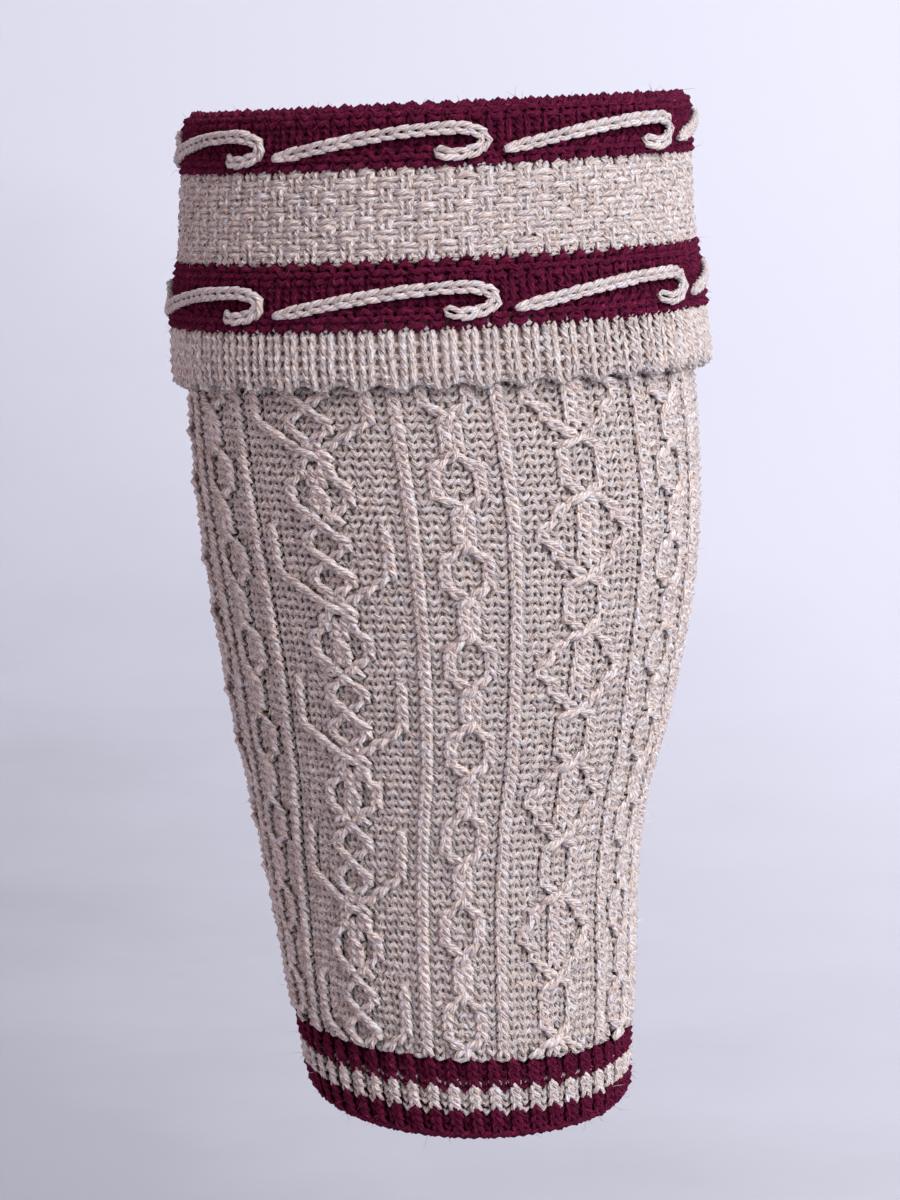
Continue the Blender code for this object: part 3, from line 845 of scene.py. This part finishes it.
def yarn_material(name, stops, flecks, fuzz, sheen, gloss, groove_shade, relief):
    """Plied wool: streaks of fibres that run along the yarn with its twist, with painted shade in the
    depth and in the grooves between the plies.
    """
    material, tree, shader = new_material(name, 0.9)
    shader.inputs["Sheen Weight"].default_value = sheen
    shader.inputs["Sheen Roughness"].default_value = 0.45
    shader.inputs["Sheen Tint"].default_value = (*fuzz, 1.0)
    shader.inputs["Specular IOR Level"].default_value = gloss

    uv = add_node(tree, "UVMap", {}, uv_map="yarn").outputs["UV"]
    split = add_node(tree, "SeparateXYZ", {0: uv})
    along, round_yarn = split.outputs["X"], split.outputs["Y"]
    twisted = scaled_sum(tree, along, YARN_TWIST, round_yarn)

    # Light and dark fibres, stretched along the yarn, and a slow drift of their tone
    unrolled = add_node(tree, "CombineXYZ", {"X": along, "Y": twisted}).outputs[0]
    stretched = add_node(tree, "Mapping", {"Vector": unrolled, "Scale": (0.35, 3.0, 1.0)})
    fibres = noise(tree, stretched.outputs[0], 2.2, 4.0, 0.65)
    drift = noise(tree, uv, 0.08)
    streaks = add_node(tree, "Math", {0: fibres, 1: 0.7}, operation="MULTIPLY").outputs[0]
    wool = colour_ramp(tree, scaled_sum(tree, drift, 0.3, streaks), stops)

    # Warm and cool flecks, and painted shade in the cloth's depth, darker where the yarn lies deeper
    tints = colour_ramp(tree, noise(tree, uv, 0.45, 1.0), flecks)
    wool = multiplied(tree, wool, tints)
    lift = add_node(tree, "Attribute", {}, attribute_name="lift").outputs["Fac"]
    wool = multiplied(tree, wool, remap(tree, lift, (-1.6, -0.2), (0.75, 1.0)))

    # Painted shade in the grooves between the plies, and their relief
    plies = add_node(tree, "Math", {0: twisted, 1: 0.5 / YARN_PLIES}, operation="PINGPONG")
    painted_groove_shade = remap(tree, plies.outputs[0], (0.0, 0.06), (groove_shade, 1.0))
    wool = multiplied(tree, wool, painted_groove_shade)
    tree.links.new(wool, shader.inputs["Base Color"])
    height = scaled_sum(tree, plies.outputs[0], 6.0, fibres)
    add_relief(tree, shader, height, relief, 0.0004)
    return material


def shell_material(name, colour):
    """A shell's colour: painted shade for the cloth's depth, as it shows in the holes between the loops,
    or the tone of its inside.
    """
    material, tree, shader = new_material(name, 1.0)
    shader.inputs["Specular IOR Level"].default_value = 0.1
    specks = noise(tree, add_node(tree, "TexCoord", {}).outputs["Object"], 900.0)
    stops = [(0.0, [0.6 * c for c in colour]), (1.0, [1.4 * c for c in colour])]
    tree.links.new(colour_ramp(tree, specks, stops), shader.inputs["Base Color"])
    add_relief(tree, shader, specks, 0.6, 0.0005)
    return material


HEATHER_STREAKS = [
    (0.36, (0.30, 0.20, 0.18)),
    (0.43, (0.50, 0.40, 0.375)),
    (0.50, (0.68, 0.60, 0.58)),
    (0.56, (0.81, 0.755, 0.74)),
    (0.64, (0.87, 0.85, 0.84)),
]
HEATHER_FLECKS = [(0.35, (1.0, 0.93, 0.88)), (0.65, (0.90, 0.93, 1.0))]
BURGUNDY_STREAKS = [
    (0.34, (0.030, 0.002, 0.008)),
    (0.45, (0.074, 0.004, 0.023)),
    (0.57, (0.145, 0.009, 0.046)),
    (0.68, (0.34, 0.036, 0.120)),
]
BURGUNDY_FLECKS = [(0.35, (1.0, 0.9, 0.85)), (0.65, (0.9, 1.0, 1.0))]
PALE_STREAKS = [
    (0.36, (0.36, 0.29, 0.28)),
    (0.44, (0.54, 0.46, 0.45)),
    (0.54, (0.70, 0.63, 0.63)),
    (0.64, (0.88, 0.84, 0.85)),
]


def wool_materials():
    """The three yarns and the loose fibres of two of them."""
    return {
        "heather": yarn_material("heather_wool", HEATHER_STREAKS, HEATHER_FLECKS, (1.0, 0.95, 0.93),
                                 sheen=0.3, gloss=0.25, groove_shade=0.75, relief=0.8),
        "burgundy": yarn_material("burgundy_wool", BURGUNDY_STREAKS, BURGUNDY_FLECKS,
                                  (0.8, 0.05, 0.25), sheen=0.12, gloss=0.1, groove_shade=0.5, relief=1.0),
        "pale": yarn_material("pale_wool", PALE_STREAKS, HEATHER_FLECKS, (1.0, 0.97, 0.97),
                              sheen=0.3, gloss=0.25, groove_shade=0.6, relief=0.9),
        "heather_fibre": fibre_material("heather_fibre", (0.80, 0.75, 0.735)),
        "burgundy_fibre": fibre_material("burgundy_fibre", (0.30, 0.03, 0.09)),
    }


# Pieces

def leg_pieces(cloth, yarns):
    """The leg's stitches in four pieces, the covered ones first, and their loose fibres."""
    rows = {k: leg_row(k) for k in range(*LEG_ROWS)}
    first_welt_row = welt_row(0)

    def strands(start, end, coarse):
        above = [rows.get(k + 1, first_welt_row) for k in range(start, end)]
        return [
            strand(*loops(cloth, rows[k], row, coarse), sides=COVERED_SIDES if coarse else YARN_SIDES)
            for k, row in zip(range(start, end), above)
        ]

    covered = strands(LEG_ROWS[0], FIRST_FULL_ROW, True)
    pieces = [yarn_piece("leg_rows_covered", covered, yarns, "heather", "leg")]
    in_sight = []
    for name, start, end in LEG_PIECES:
        made = strands(start, end, False)
        pieces.append(yarn_piece(name, made, yarns, "heather", "leg"))
        in_sight += made
    return [*pieces, fibre_piece("leg_fibres", in_sight, yarns, "heather", LEG_FIBRES)]


def welt_pieces(cloth, yarns):
    """The welt's three stripes of ribs, the lowest with the bound-off edge, and their fibres."""
    pieces = []
    for (name, yarn, start), fibres in zip(WELT_STRIPES, WELT_FIBRES):
        made = []
        for k in range(start, start + WELT_STRIPE_ROWS):
            row_yarn = loops(cloth, welt_row(k), welt_row(k + 1), thickness=RIB_YARN)
            made.append(strand(*row_yarn))
        if name == "welt_rows_low":
            made += bind_off()
        pieces.append(yarn_piece(name, made, yarns, yarn, name.replace("rows", "stripe")))
        pieces.append(fibre_piece(name.replace("rows", "fibres"), made, yarns, yarn, fibres))
    return pieces


def cuff_pieces(cloth, yarns):
    """The cuff's hem, two bands and moss stitch band, and their fibres."""
    rows = cuff_rows()
    made = {}
    first, last = CUFF_WAYS_IN_SIGHT
    for (piece, yarn, thickness, row), (*_, above) in zip(rows, rows[1:] + rows[-1:]):
        hidden = not first < row["way"] < last
        row_yarn = loops(cloth, row, above, hidden, thickness)
        made.setdefault((piece, yarn), []).append(strand(*row_yarn))
    pieces = []
    for (piece, yarn), strands in made.items():
        pieces.append(yarn_piece(piece, strands, yarns, yarn, "cuff_" + piece.removesuffix("_rows")))
        name = piece.replace("rows", "fibres")
        pieces.append(fibre_piece(name, strands, yarns, yarn, CUFF_FIBRES[piece]))
    return pieces


def chain(path, outward, link_count, closed=False):
    """Links of yarn along a path of points with their outward directions; an open chain begins
    with a point."""
    ways = ways_along(path)
    link = ways[-1] / link_count
    along = np.gradient(path, axis=0)
    strands = []
    for k in range(link_count):
        at = link * (k + LINK_ALONG)
        at = at % ways[-1] if closed else np.clip(at, 0.0, ways[-1])
        middle, forward, out = (
            np.stack([np.interp(at, ways, column) for column in values.T], -1)
            for values in (path, along, outward)
        )
        out = unit(out)
        across = np.cross(out, unit(forward))
        uneven = rng.normal(0.0, UNEVEN_LINK, (2, len(at)))
        lifts = LINK_LIFT + uneven[0]
        spread = np.clip((k + LINK_ALONG + POINT_START) / POINT_LINKS, POINT_WIDTH, 1.0)
        places = LINK_ACROSS * (1.0 if closed else spread) + uneven[1]
        points = middle + (across * places[:, None] + out * lifts[:, None]) * MM
        yarn = np.full(len(at), LINK_YARN * MM) * (1.0 + rng.normal(0.0, UNEVEN_YARN))
        strands.append(strand(points, out, yarn, lifts, YARN_SIDES if closed else LINK_SIDES))
    return strands


def bind_off():
    """The chain of the bound-off edge round the welt's lower end, which faces down and out."""
    turns = np.linspace(0.0, 360.0, BIND_OFF_POINTS)
    heights, outs = (np.full(len(turns), value) for value in BIND_OFF)
    path = tube_points(WELT_SECTIONS, heights, turns, outs)
    below = tube_points(WELT_SECTIONS, heights - BIND_OFF_DOWN, turns, outs + BIND_OFF_OUT)
    return chain(path, below - path, WELT_STITCHES, closed=True)


def hook_pieces(yarns):
    """The chain stitch hooks on both bands, once round."""
    pieces = []
    for prefix, middle, first_turn, smooth_half in HOOK_BANDS:
        girth = float(read_smooth(CUFF_SECTIONS, np.array([middle]))[1][0])
        per_degree = math.radians(girth)
        line = [(turn * per_degree, rise) for turn, rise in HOOK_LINE]
        ways, line = smooth_line(line, HOOK_STEP, HOOK_ROUNDING)
        for k in range(HOOKS_PER_BAND):
            turns = first_turn + 360.0 * k / HOOKS_PER_BAND + line[:, 0] / per_degree
            rises = line[:, 1]
            ridge = [smooth_half - RIDGE_WIDTH, smooth_half]
            outs = HOOK_LIFT + np.interp(np.abs(rises), ridge, [0.0, RIDGE_RISE])
            path = tube_points(CUFF_SECTIONS, middle + rises, turns, outs)
            over = tube_points(CUFF_SECTIONS, middle + rises, turns, outs + 1.0)
            made = chain(path, over - path, round(ways[-1] / LINK_LENGTH))
            name = f"{prefix}_{k + 1}"
            pieces.append(yarn_piece(f"{name}_chain", made, yarns, "pale", name))
    return pieces


def shell_piece(name, cloth, ways, count, materials, material_at):
    """The thin closed shell in the middle of a cloth that its loops are worked through. Its faces take
    their material by their way along the cloth and by whether they are on the inside."""
    turns = np.arange(count) * 360.0 / count
    rings = [(way, SHELL_LIFTS[0]) for way in ways]
    rings += [(way, SHELL_LIFTS[1]) for way in ways[::-1]]
    vertices = []
    for way, lift in rings:
        vertices += cloth.points(np.full(count, way), turns, np.full(count, lift)).tolist()
    faces, slots = [], []
    for k, (way, _) in enumerate(rings):
        after = (k + 1) % len(rings)
        for j in range(count):
            beside = (j + 1) % count
            faces.append((k * count + j, after * count + j, after * count + beside,
                          k * count + beside))
            slots.append(material_at(way, k >= len(ways)))
    mesh = bpy.data.meshes.new(name)
    mesh.from_pydata(vertices, [], faces)
    mesh.shade_smooth()
    mesh.polygons.foreach_set("material_index", slots)
    for material in materials:
        mesh.materials.append(material)
    obj = root_piece(name, mesh)
    bpy.ops.object.select_all(action="DESELECT")
    bpy.context.view_layer.objects.active = obj
    obj.select_set(True)
    bpy.ops.object.mode_set(mode="EDIT")
    bpy.ops.mesh.select_all(action="SELECT")
    bpy.ops.mesh.normals_make_consistent(inside=False)
    bpy.ops.object.mode_set(mode="OBJECT")
    obj.select_set(False)
    return obj


def leg_sheet(cloth):
    """The leg's shell, from the fold down to the welt: painted shade on its outer face, lighter on the
    inside.
    """
    ways = np.linspace(LEG_SHELL_START, LEG_TOP - LEG_SHELL_END, LEG_SHELL_RINGS).tolist()
    materials = [shell_material("leg_painted_shade", (0.48, 0.39, 0.365)),
                 shell_material("heather_inside", (0.62, 0.52, 0.50))]
    shell = shell_piece("leg_shell", cloth, ways, TUBE_SHELL_STEPS, materials,
                        lambda way, inside: int(inside))


def welt_sheet(cloth, depths):
    """The welt's shell in painted shade of its yarns, heather in its stripe, which ends behind the
    bound-off edge.
    """
    stripe = WELT_STRIPE_ROWS * WELT_ROW
    end = 3 * stripe + WELT_SHELL_PAST
    ways = np.linspace(WELT_SHELL_START, end, WELT_SHELL_RINGS).tolist()
    shell = shell_piece("welt_shell", cloth, ways, TUBE_SHELL_STEPS, depths[::-1],
                        lambda way, inside: int(stripe < way < 2 * stripe))


def cuff_sheet(cloth, depths):
    """The cuff's shell in painted shade of its yarns, burgundy in its two bands, turned in at the edge
    and over the fold.
    """
    last = cloth.ways[-1] - CUFF_SHELL_SHORT
    fold = np.arange(CUFF_SHELL_FACE[1], last, CUFF_SHELL_FOLD_STEP)
    ways = [*np.arange(*CUFF_SHELL_EDGE), *np.arange(*CUFF_SHELL_FACE), *fold]
    seams = [CUFF_FIRST_ROW]
    for *_, pitch, kinds in CUFF_PLAN:
        seams.append(seams[-1] + pitch * len(kinds))
    shell = shell_piece("cuff_shell", cloth, ways, CUFF_SHELL_STEPS, depths,
                        lambda way, inside: int(seams[1] < way < seams[2] or way > seams[3]))


# Stage, lights and camera

def paper_material():
    """Pale paper with a painted shadow, darkest at its lower left, and painted shade of soft folds."""
    material, tree, shader = new_material("pale_paper", 0.95)
    place = add_node(tree, "TexCoord", {}).outputs["Object"]
    split = add_node(tree, "SeparateXYZ", {0: place})
    # Painted shadow that grows lighter towards the back, the top and the right, with painted shade of
    # folds mottled over it
    rise = scaled_sum(tree, split.outputs["Y"], 0.3, split.outputs["Z"])
    shadow_corner = scaled_sum(tree, split.outputs["X"], 0.82, rise)
    painted_shades = scaled_sum(tree, noise(tree, place, 5.0, 6.0, 0.6), 0.3, shadow_corner)
    spread = remap(tree, painted_shades, (-0.15, 1.15), (0.0, 1.0))
    stops = [(at, (tone, tone * 1.01, tone * 1.13)) for at, tone in SWEEP_SHADE_TONES]
    tree.links.new(colour_ramp(tree, spread, stops), shader.inputs["Base Color"])
    return material


def stage():
    """A pale sweep: a floor that curves up into a wall."""
    _, line = smooth_line(SWEEP_LINE, SWEEP_STEP, SWEEP_ROUNDING)
    vertices = [(x, y, z) for y, z in line for x in (-SWEEP_HALF_WIDTH, SWEEP_HALF_WIDTH)]
    faces = [(2 * k, 2 * k + 1, 2 * k + 3, 2 * k + 2) for k in range(len(line) - 1)]
    mesh = bpy.data.meshes.new("sweep")
    mesh.from_pydata(vertices, [], faces)
    mesh.shade_smooth()
    mesh.materials.append(paper_material())
    new_object("sweep", mesh)


def area_light(name, place, aim, size, power, colour):
    """A square light at a place in metres that shines on the point that it is aimed at."""
    data = bpy.data.lights.new(name, "AREA")
    data.size = size
    data.energy = power
    data.color = colour
    light = new_object(name, data)
    light.location = place
    direction = np.array(aim) - np.array(place)
    flat = math.hypot(direction[0], direction[1])
    light.rotation_euler = (
        math.atan2(flat, -direction[2]), 0.0, math.atan2(-direction[0], direction[1])
    )


def lights():
    """A key from the right, a warm fill from the left, one light on the wall, and a pale room."""
    for light in LIGHTS:
        area_light(*light)
    world = bpy.data.worlds.new("room")
    world.use_nodes = True
    background = world.node_tree.nodes["Background"]
    background.inputs["Color"].default_value = ROOM_COLOUR
    background.inputs["Strength"].default_value = ROOM_STRENGTH
    bpy.context.scene.world = world
    bpy.context.scene.view_settings.view_transform = "Standard"


def camera():
    """A long lens level with the cuff, which looks a little down."""
    data = bpy.data.cameras.new("camera")
    data.sensor_fit = "VERTICAL"
    data.sensor_height = CAMERA_SENSOR
    data.lens = CAMERA_LENS
    data.clip_end = 20.0
    obj = new_object("camera", data)
    obj.location = CAMERA_PLACE
    obj.rotation_euler = (math.radians(90.0 - CAMERA_PITCH), 0.0, 0.0)
    bpy.context.scene.camera = obj


def main():
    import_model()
    camera()
    lights()
    stage()
    yarns = wool_materials()
    leg_cloth = Cloth(LEG_SECTIONS, [(LEG_TOP, 0.0), (LEG_END, 0.0)], -1)
    welt_cloth = Cloth(WELT_SECTIONS, [(WELT_TOP + WELT_ROW, 0.0), (WELT_END, 0.0)], -1)
    cuff_cloth = Cloth(CUFF_SECTIONS, CUFF_PROFILE, 1, teeth=True)

    leg = leg_pieces(leg_cloth, yarns)
    welt = welt_pieces(welt_cloth, yarns)
    cuff = cuff_pieces(cuff_cloth, yarns)
    hooks = hook_pieces(yarns)

    # Painted shade for the holes between the loops, in the heather and in the burgundy
    depths = [shell_material("heather_painted_shade", (0.36, 0.26, 0.24)),
              shell_material("burgundy_painted_shade", (0.028, 0.002, 0.008))]
    leg_sheet(leg_cloth)
    welt_sheet(welt_cloth, depths)
    cuff_sheet(cuff_cloth, depths)


main()
